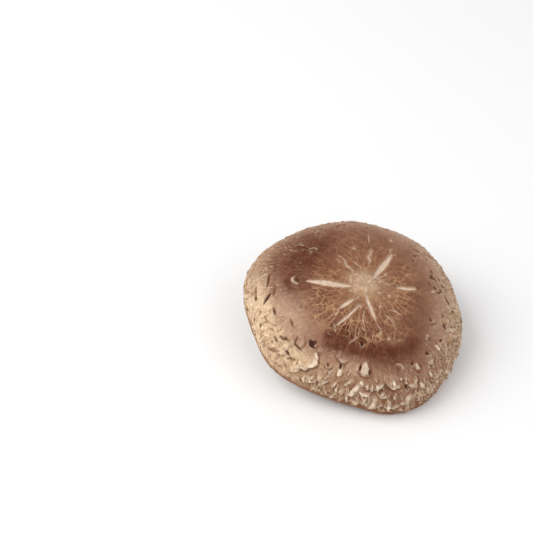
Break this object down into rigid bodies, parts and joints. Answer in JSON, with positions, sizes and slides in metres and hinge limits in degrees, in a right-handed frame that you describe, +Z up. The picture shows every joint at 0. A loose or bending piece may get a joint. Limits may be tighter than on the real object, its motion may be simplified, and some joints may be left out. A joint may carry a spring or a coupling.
{
  "type": "shiitake mushroom",
  "caption": "Fresh shiitake mushroom, cap up: domed brown cap with a star of pale cracks and torn scales, cream gills below, and a short trimmed stem.",
  "frame": {"origin": "on the surface that the mushroom rests on, under the middle of its outline", "axes": "+Z up, the mushroom's shortest extent; the cap leans 14 degrees towards -Y and a little +X, where its rim touches down"},
  "size_m": [0.0786, 0.0776, 0.0331],
  "materials": {
    "cap_skin": "matt brown mushroom skin with pale cracks and scales",
    "gill_tissue": "matt cream mushroom gills",
    "stem_tissue": "matt fibrous tan mushroom stem"
  },
  "bodies": {
    "root": {"cap": "cap_skin", "gills": "gill_tissue", "stem": "stem_tissue"}
  },
  "joints": []
}
